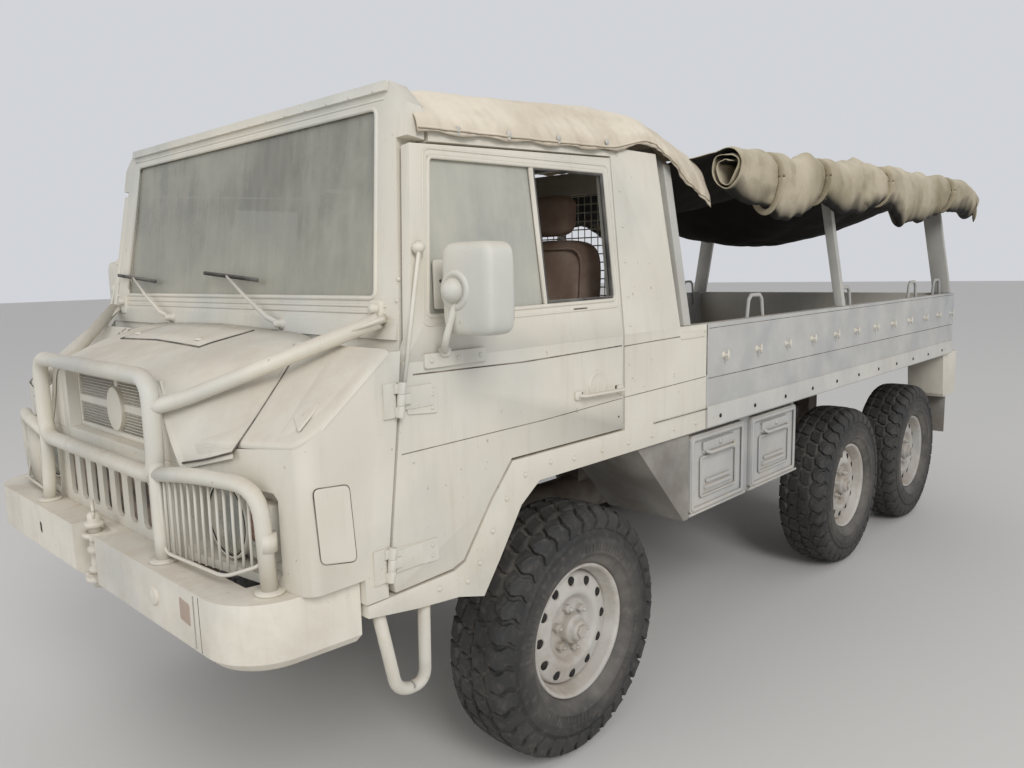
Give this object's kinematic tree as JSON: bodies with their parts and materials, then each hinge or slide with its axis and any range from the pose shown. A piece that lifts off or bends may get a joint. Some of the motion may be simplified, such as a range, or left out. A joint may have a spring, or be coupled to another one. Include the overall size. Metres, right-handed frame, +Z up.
{
  "type": "light six-wheel cargo truck",
  "caption": "Open light army cargo truck with a soft-topped cab, hinged doors and lids, a hooped cargo bed with rolled tarpaulin, steered front wheels and spinning wheels.",
  "frame": {"origin": "on the ground, under the middle of the truck's length and width", "axes": "+X forward, +Y to the vehicle's left, +Z up"},
  "size_m": [5, 2.188, 2.06],
  "materials": {
    "cream_paint": "matt, dusty",
    "bumper_paint": "matt, dusty",
    "dark_metal": "matt, dusty",
    "galvanised": "weathered",
    "brown_bed": "matt, worn",
    "tyre_rubber": "dusty",
    "wheel_paint": "matt, dusty",
    "window_glass": "dusty",
    "lamp_glass": "ribbed",
    "tan_canvas": "woven, faded",
    "seat_cover": "woven",
    "cab_black": "matt",
    "cast_iron": "rough"
  },
  "bodies": {
    "chassis": {"bed_floor": "brown_bed", "bed_hoops": "galvanised", "bed_sides": "cream_paint", "bed_tarp": "tan_canvas", "bonnet": "cream_paint", "cab_canvas": "tan_canvas", "cab_rear_panel": "cream_paint", "cab_sides": "cream_paint", "cab_tub": "cream_paint", "chassis_frame": "dark_metal", "chassis_rails": "dark_metal", "cross_beams": "dark_metal", "dashboard": "cab_black", "engine_block": "cast_iron", "front_axle": "dark_metal", "front_bumper": "bumper_paint", "front_lamps": "lamp_glass", "grille_guard": "cream_paint", "lockers": "cream_paint", "mid_axle": "dark_metal", "mudguards": "dark_metal", "nose_body": "cream_paint", "rear_axle": "dark_metal", "rear_bumper": "dark_metal", "seats": "seat_cover", "suspension_springs": "dark_metal", "upper_grille": "cream_paint", "windscreen_frame": "cream_paint", "windscreen_glass": "window_glass"},
    "tie_rod": {"tie_rod": "dark_metal"},
    "tailgate": {"tailgate": "cream_paint"},
    "knuckle_left": {"front_knuckle_left": "dark_metal"},
    "door_left": {"door_left": "cream_paint", "door_glass_left": "window_glass", "mirror_left": "cream_paint"},
    "lid_front_left": {"locker_lid_front_left": "cream_paint"},
    "lid_rear_left": {"locker_lid_rear_left": "cream_paint"},
    "wheel_front_left": {"wheel_front_left": "wheel_paint", "tyre_front_left": "tyre_rubber"},
    "wheel_mid_left": {"wheel_mid_left": "wheel_paint", "tyre_mid_left": "tyre_rubber"},
    "wheel_rear_left": {"wheel_rear_left": "wheel_paint", "tyre_rear_left": "tyre_rubber"},
    "knuckle_right": {"front_knuckle_right": "dark_metal"},
    "door_right": {"door_right": "cream_paint", "door_glass_right": "window_glass", "mirror_right": "cream_paint"},
    "lid_front_right": {"locker_lid_front_right": "cream_paint"},
    "lid_rear_right": {"locker_lid_rear_right": "cream_paint"},
    "wheel_front_right": {"wheel_front_right": "wheel_paint", "tyre_front_right": "tyre_rubber"},
    "wheel_mid_right": {"wheel_mid_right": "wheel_paint", "tyre_mid_right": "tyre_rubber"},
    "wheel_rear_right": {"wheel_rear_right": "wheel_paint", "tyre_rear_right": "tyre_rubber"}
  },
  "joints": [
    {"name": "steer_left", "type": "hinge", "parent": "chassis", "child": "knuckle_left", "pos_m": [1.35, 0.59, 0.44], "axis": [0, 0, 1], "range_deg": [-30, 30]},
    {"name": "steer_right", "type": "hinge", "parent": "chassis", "child": "knuckle_right", "pos_m": [1.35, -0.59, 0.44], "axis": [0, 0, 1], "range_deg": [-30, 30]},
    {"name": "tie_rod_pivot", "type": "hinge", "parent": "knuckle_left", "child": "tie_rod", "pos_m": [1.515, 0.59, 0.467], "axis": [0, 0, 1], "range_deg": [-30, 30]},
    {"name": "spin_front_left", "type": "hinge", "parent": "knuckle_left", "child": "wheel_front_left", "pos_m": [1.35, 0.74, 0.4], "axis": [0, 1, 0], "continuous": true},
    {"name": "spin_front_right", "type": "hinge", "parent": "knuckle_right", "child": "wheel_front_right", "pos_m": [1.35, -0.74, 0.4], "axis": [0, 1, 0], "continuous": true},
    {"name": "spin_mid_left", "type": "hinge", "parent": "chassis", "child": "wheel_mid_left", "pos_m": [-0.85, 0.74, 0.4], "axis": [0, 1, 0], "continuous": true},
    {"name": "spin_mid_right", "type": "hinge", "parent": "chassis", "child": "wheel_mid_right", "pos_m": [-0.85, -0.74, 0.4], "axis": [0, 1, 0], "continuous": true},
    {"name": "spin_rear_left", "type": "hinge", "parent": "chassis", "child": "wheel_rear_left", "pos_m": [-1.83, 0.74, 0.4], "axis": [0, 1, 0], "continuous": true},
    {"name": "spin_rear_right", "type": "hinge", "parent": "chassis", "child": "wheel_rear_right", "pos_m": [-1.83, -0.74, 0.4], "axis": [0, 1, 0], "continuous": true},
    {"name": "door_hinge_left", "type": "hinge", "parent": "chassis", "child": "door_left", "pos_m": [2.095, 0.913, 1.248], "axis": [0.1234, 0, -0.9924], "range_deg": [0, 70]},
    {"name": "door_hinge_right", "type": "hinge", "parent": "chassis", "child": "door_right", "pos_m": [2.095, -0.913, 1.248], "axis": [-0.1234, 0, 0.9924], "range_deg": [0, 70]},
    {"name": "tailgate_hinge", "type": "hinge", "parent": "chassis", "child": "tailgate", "pos_m": [-2.309, 0, 0.991], "axis": [0, -1, 0], "range_deg": [0, 90]},
    {"name": "lid_hinge_front_left", "type": "hinge", "parent": "chassis", "child": "lid_front_left", "pos_m": [0.579, 0.8785, 0.646], "axis": [-1, 0, 0], "range_deg": [0, 90]},
    {"name": "lid_hinge_rear_left", "type": "hinge", "parent": "chassis", "child": "lid_rear_left", "pos_m": [0.117, 0.8785, 0.646], "axis": [-1, 0, 0], "range_deg": [0, 90]},
    {"name": "lid_hinge_front_right", "type": "hinge", "parent": "chassis", "child": "lid_front_right", "pos_m": [0.579, -0.8785, 0.646], "axis": [1, 0, 0], "range_deg": [0, 90]},
    {"name": "lid_hinge_rear_right", "type": "hinge", "parent": "chassis", "child": "lid_rear_right", "pos_m": [0.117, -0.8785, 0.646], "axis": [1, 0, 0], "range_deg": [0, 90]}
  ],
  "couplings": [
    {"joint": "steer_right", "follows": "steer_left", "ratio": 1},
    {"joint": "tie_rod_pivot", "follows": "steer_left", "ratio": -1}
  ]
}
